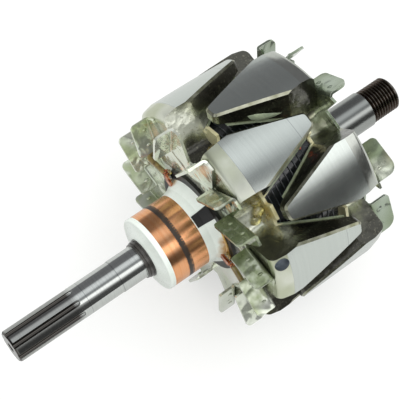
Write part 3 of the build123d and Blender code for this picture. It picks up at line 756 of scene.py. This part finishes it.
class ROTOR_OT_slip_rings(bpy.types.Operator):
    """Finish the slip rings, their hub, bush and collar"""
    bl_idname = "rotor.slip_rings"
    bl_label = "Slip rings"

    def execute(self, context):
        nodes = frame["nodes"]
        copper = turned_copper()
        show(nodes["slip_ring_outer"], copper)
        show(nodes["slip_ring_inner"], copper)
        # the separator shows 1.5 mm wide and further forward, so the rings' edges lap over it
        low, high = [corner.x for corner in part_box("ring_separator")]
        ring_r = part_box("slip_ring_outer")[1].y / MM
        lap_r = ring_r - 0.4
        for name, side, start, end in (
                ("outer_ring_edge", low, -0.02, 0.25), ("inner_ring_edge", high, -0.85, 0.02)):
            lap = turned_piece(name, side, ((start, lap_r), (start, ring_r), (end, ring_r), (end, lap_r)))
            show(lap, copper)
            keep(lap, "copper_ring")
        # the separator is dark brown and the collar a dull black
        show(nodes["ring_separator"], moulding("brown_thermoset", "#3E342C", "#2C241E", 0.4, 3.0))
        show(nodes["insulating_collar"], moulding("black_fibre", "#0C0C0B", "#171615", 0.4, 3.0))

        # greenish white with amber varnish near the leads
        amber = [
            (polar(21, 150, HUB_BACK - 0.5 * MM), 3.5), (polar(21, 163, HUB_BACK - 0.5 * MM), 4.5),
            (polar(21.5, 176, HUB_BACK - 1 * MM), 5.5), (polar(21, 33, HUB_BACK), 4.5)]
        white = moulding("white_thermoset", "#F5FBF4", "#ECF3EA", 0.3, 7.0, 0.02, 0.3, "#B98A35", amber)
        show(nodes["slip_ring_hub"], white)
        # the white hub runs forward in a low cone round the dark bush, which is stepped and slim
        nose = turned_piece("hub_nose", HUB_FRONT, (
            (-1.7, 8.95), (-1.7, 9.6), (-1.0, 11.0), (-0.4, 13.6), (0, 15.8), (0, 8.95)))
        show(nose, white)
        keep(nose, "white_moulding")
        bush = turned_piece("hub_bush_finished", HUB_FRONT - 5.0 * MM, (
            (0, 7.62), (0, 8.1), (0.9, 8.25), (1.0, 8.05), (1.2, 8.05), (1.3, 8.5),
            (2.3, 8.6), (2.4, 8.4), (2.6, 8.4), (2.7, 8.85), (5.0, 8.9), (5.0, 7.62)))
        show(bush, moulding("grey_bush_thermoset", "#45423E", "#33312E", 0.3, 3.0, 0.02, 0.3))
        keep(bush, "grey_moulding", "hub_bush")
        return {"FINISHED"}


class ROTOR_OT_leads(bpy.types.Operator):
    """Finish the coil leads, sleeves, terminals and solder, with wire turns and set varnish round them"""
    bl_idname = "rotor.leads"
    bl_label = "Leads"

    def execute(self, context):
        # the last of the enamel and the varnish leave the bared wire patchy
        copper = patchy("bare_copper_wire", {"Metallic": 1.0, "Coat Weight": 0.4}, 1.8, 2.0, [
            (0.35, "#E0A27A"), (0.5, "#BC6E45"), (0.65, "#8A4526")], 0.22, 0.4)
        # hand-laid solder is pale grey, lumpy and half bright
        solder = patchy("soft_solder", {"Metallic": 1.0}, 1.4, 1.0, [
            (0.35, "#A5A7A2"), (0.65, "#DADBD8")], 0.15, 0.32, 0.3)
        # the woven sleeve is soaked yellow-brown
        sleeve = moulding("varnished_glass_sleeve", "#9A874C", "#5F4A26", 0.3, 2.0, 0.06, 0.6)
        for node, material in (
                ("coil_lead", copper), ("ring_terminal", copper), ("solder_joint", solder),
                ("lead_sleeve", sleeve)):
            for end in ("_a", "_b"):
                show(frame["nodes"][node + end], material)

        # two and a half turns of each wire's bared end round its terminal's tip
        turn_x = HUB_BACK - 1.2 * MM
        for name, angle in (("wire_turns_a", 30.0), ("wire_turns_b", 178.0)):
            across = Vector((0, -sin(radians(angle)), cos(radians(angle))))
            loops = [polar(23.4 + 0.12 * step, angle, turn_x + 1.2 * MM * sin(step * pi / 4))
                     + across * 1.6 * MM * cos(step * pi / 4) for step in range(21)]
            turns = tube_along(name, loops, [0.33 * MM] * len(loops))
            show(turns, copper)
            keep(turns, "copper_wire")

        # drops on the hub's back edge, then drops in the slip end's valleys
        lumps = bmesh.new()
        face = Vector((-1, 0, 0))
        for r_mm, angle, back_mm, size_mm in (
                (22.5, 168, 1.4, 1.7), (24.0, 181, 1.5, 1.6), (23.5, 26, 1.2, 1.5), (25.0, 38, 0.8, 1.3)):
            drop(lumps, polar(r_mm, angle, HUB_BACK - back_mm * MM), face, size_mm)
        for r_mm, angle, x_mm, size_mm in (
                (34.6, 127, 10.6, 3.2), (34.2, 132, 8.0, 2.6), (36.0, 121, 11.0, 2.2),
                (37.5, 133, 12.4, 1.6), (34.4, 72, 11.4, 2.2), (34.6, 190, 10.0, 2.4)):
            drop(lumps, polar(r_mm, angle, SLIP_FACE + x_mm * MM), polar(1, angle), size_mm, 0.45)
        pools = new_piece("set_varnish", lumps, 60)
        # dip varnish that pooled and set: clear amber with a wet gloss
        wet = {"IOR": 1.52, "Transmission Weight": 0.85, "Coat Weight": 0.5, "Coat Roughness": 0.03}
        clear = [(0.35, "#F0EBC0"), (0.52, "#DCCF86"), (0.68, "#BFA04A")]
        show(pools, patchy("amber_dip_varnish", wet, 2.5, 2.0, clear, 0.04, 0.14, 0.2))
        keep(pools, "sleeve")
        # a glossy bead of flux and varnish runs along the hub's back edge and swells on its way
        edge = [polar(20.9, angle, HUB_BACK - 0.3 * MM) for angle in range(134, 174, 3)]
        run = tube_along("varnish_run", edge, [(0.3 + 0.05 * step) * MM for step in range(len(edge))])
        show(run, moulding("baked_flux_and_varnish", "#DDB45C", "#A0622A", 0.14, 2.5, 0.05, 1.0))
        keep(run, "sleeve")
        return {"FINISHED"}


class ROTOR_OT_fans(bpy.types.Operator):
    """Finish the two pressed fans, with the pips in their blades"""
    bl_idname = "rotor.fans"
    bl_label = "Fans"

    def execute(self, context):
        pale = [(0.3, "#BCC79C"), (0.45, "#DDE4CF"), (0.7, "#F4F6EF")]
        deep = [(0.25, "#78845F"), (0.5, "#93A087"), (0.75, "#B3BEB0")]
        # painted shade on the slip fan's lower blades, and painted light on its upper ones
        lower = [(polar(40, 123, SLIP_FACE - 3 * MM), 27), (polar(45, 163, SLIP_FACE - 8 * MM), 21)]
        upper = [(polar(36, 68, SLIP_FACE - 2 * MM), 26)]
        # painted highlights on two blades of the drive fan near their feet, where they shine
        drive_blade_glare = [(polar(46, 144, DRIVE_FACE + 3.5 * MM), 8), (polar(47, 166, DRIVE_FACE + 1.5 * MM), 9)]
        # sheared edges shine pale
        edge = plated_steel("sheared_edge_steel", [(0.35, "#D0D5C6"), (0.65, "#E6E9DF")], 0.3, 3.0, 0.03)[0]
        pips = pip_tree()
        for node, blades, back, up, stops, film, darker, paler in (
                ("fan_slip_end", SLIP_BLADES, SLIP_FACE, -1, pale, 0.7, lower, upper),
                ("fan_drive_end", DRIVE_BLADES, DRIVE_FACE, 1, deep, 0.85, (), drive_blade_glare)):
            plated = fan_sheet(node + "_plated_sheet", stops, film, darker, paler)
            piece = welded_copy(node)
            show(piece, plated, edge)
            round_edges(piece, context.scene.rotor_finish.sheet_edge, 1)
            keep(piece, "plated_sheet", node)
            pressed = grown(node + "_pips", pip_places(blades, back, up), pips, {
                "Length": context.scene.rotor_detail.pip_length, "Width": 1.7 * MM,
                "Depth": SHEET_T + 1.0 * MM, "Metal": plated})
            keep(pressed, "plated_sheet")
        return {"FINISHED"}


def ray_kinds(tree):
    """The light path's outputs, and one that is 1 for rays off a gloss or through a clear body."""
    path = add(tree, "ShaderNodeLightPath").outputs
    shiny = add(tree, "ShaderNodeMath", {
        0: path["Is Glossy Ray"], 1: path["Is Transmission Ray"]}, operation="MAXIMUM").outputs[0]
    return path, shiny


def paper_sweep():
    """Matt white paper, lifted a little where it is seen, so that it is white and keeps a soft shadow."""
    paper = bpy.data.materials.new("white_paper_sweep")
    paper.use_nodes = True
    tree = paper.node_tree
    tree.nodes.clear()
    path, shiny = ray_kinds(tree)
    mirrored = add(tree, "ShaderNodeMath", {0: shiny, 1: 0.28}, operation="MULTIPLY").outputs[0]
    lift = add(tree, "ShaderNodeMath", {
        0: path["Is Camera Ray"], 1: 0.55, 2: mirrored}, operation="MULTIPLY_ADD").outputs[0]
    matt = add(tree, "ShaderNodeBsdfDiffuse", {"Color": "#B3B3B1"})
    glow = add(tree, "ShaderNodeEmission", {"Color": "#FFFFFF", "Strength": lift})
    both = add(tree, "ShaderNodeAddShader", {0: matt.outputs[0], 1: glow.outputs[0]})
    add(tree, "ShaderNodeOutputMaterial", {"Surface": both.outputs[0]})
    return paper


def studio_world():
    """White to the camera, an even fill for matt light, and the soft boxes for what shines."""
    world = bpy.data.worlds.new("studio")
    world.use_nodes = True
    tree = world.node_tree
    tree.nodes.clear()
    way = add(tree, "ShaderNodeSeparateXYZ", {0: add(tree, "ShaderNodeTexCoord").outputs["Generated"]})
    turn = add(tree, "ShaderNodeMath", {0: way.outputs[2], 1: way.outputs[1]}, operation="ARCTAN2")
    turn = add(tree, "ShaderNodeMath", {0: turn.outputs[0], 1: radians(TURN)}, operation="ADD")
    share = add(tree, "ShaderNodeMapRange", {0: turn.outputs[0], 1: 0.0, 2: pi}).outputs[0]
    walls = add(tree, "ShaderNodeValToRGB", {"Fac": share}, stops=[
        (angle / 180, code) for angle, code in SOFT_BOXES])
    path, shiny = ray_kinds(tree)
    sky = add(tree, "ShaderNodeBackground", {"Color": walls.outputs["Color"], "Strength": 1.6})
    fill = add(tree, "ShaderNodeBackground", {"Color": "#F8FAFA", "Strength": 1.15})
    white = add(tree, "ShaderNodeBackground", {"Color": "#FFFFFF"})
    both = add(tree, "ShaderNodeMixShader", {0: shiny, 1: fill.outputs[0], 2: sky.outputs[0]})
    both = add(tree, "ShaderNodeMixShader", {
        0: path["Is Camera Ray"], 1: both.outputs[0], 2: white.outputs[0]})
    add(tree, "ShaderNodeOutputWorld", {"Surface": both.outputs[0]})
    return world


class ROTOR_OT_stage(bpy.types.Operator):
    """Set out the pale floor, the studio light and the camera at the picture's angle"""
    bl_idname = "rotor.stage"
    bl_label = "Studio"

    def execute(self, context):
        stage = context.scene.rotor_stage
        half = stage.floor_half
        corners = [(half * x, half * y, cad_low.z) for x, y in ((-1, -1), (1, -1), (1, 1), (-1, 1))]
        floor_mesh = bpy.data.meshes.new("floor")
        floor_mesh.from_pydata(corners, [], [(0, 1, 2, 3)])
        floor = linked("floor", floor_mesh)
        show(floor, paper_sweep())
        context.scene.world = studio_world()

        lamp = bpy.data.lights.new("overhead lamp", "AREA")
        lamp.shape = "RECTANGLE"
        lamp.size, lamp.size_y = 0.9, 0.6
        lamp.energy = stage.lamp_power
        lamp_way = Vector((0.3, -0.28, 1)).to_track_quat("Z", "Y").to_matrix().to_4x4()
        holder = linked("overhead lamp", lamp)
        holder.matrix_world = Matrix.Translation((0.25, -0.25, 0.95)) @ lamp_way
        holder.visible_glossy = False

        azimuth, elevation = radians(AZIMUTH), radians(ELEVATION)
        forward = Vector((-sin(azimuth) * cos(elevation), cos(azimuth) * cos(elevation), -sin(elevation)))
        right = Vector((cos(azimuth), sin(azimuth), 0))
        basis = Matrix((right, right.cross(forward), -forward)).transposed().to_4x4()
        eye = Vector((cad_low.x + AIM_ALONG, 0, AIM_UP)) - forward * CAMERA_AWAY
        lens = bpy.data.cameras.new("camera")
        lens.lens = lens.sensor_width * FOCAL_LENGTH / PICTURE_WIDTH
        lens.clip_start, lens.clip_end = 0.02, 100
        camera = linked("camera", lens)
        camera.matrix_world = Matrix.Rotation(radians(-TURN), 4, "X") @ Matrix.Translation(eye) @ basis
        context.scene.camera = camera
        context.scene.view_settings.view_transform = "Standard"
        return {"FINISHED"}


class ROTOR_PT_panel(bpy.types.Panel):
    """The rotor's pieces and their settings"""
    bl_idname = "ROTOR_PT_panel"
    bl_label = "Alternator rotor"
    bl_space_type = "VIEW_3D"
    bl_region_type = "UI"
    bl_category = "Rotor"

    def draw(self, context):
        for operator in OPERATORS:
            self.layout.operator(operator.bl_idname)
        for group in (context.scene.rotor_finish, context.scene.rotor_detail, context.scene.rotor_stage):
            for name in group.__annotations__:
                self.layout.prop(group, name)


OPERATORS = (ROTOR_OT_shaft, ROTOR_OT_poles, ROTOR_OT_winding, ROTOR_OT_slip_rings, ROTOR_OT_leads,
             ROTOR_OT_fans, ROTOR_OT_stage)
CLASSES = (RotorFinish, RotorDetail, RotorStage) + OPERATORS + (ROTOR_PT_panel,)


def register():
    for cls in CLASSES:
        bpy.utils.register_class(cls)
    bpy.types.Scene.rotor_finish = PointerProperty(type=RotorFinish)
    bpy.types.Scene.rotor_detail = PointerProperty(type=RotorDetail)
    bpy.types.Scene.rotor_stage = PointerProperty(type=RotorStage)


def unregister():
    del bpy.types.Scene.rotor_stage
    del bpy.types.Scene.rotor_detail
    del bpy.types.Scene.rotor_finish
    for cls in reversed(CLASSES):
        bpy.utils.unregister_class(cls)


def main():
    """Makes every piece in order."""
    register()
    bpy.ops.rotor.shaft()
    bpy.ops.rotor.poles()
    bpy.ops.rotor.winding()
    bpy.ops.rotor.slip_rings()
    bpy.ops.rotor.leads()
    bpy.ops.rotor.fans()
    bpy.ops.rotor.stage()


if __name__ == "__main__":
    main()
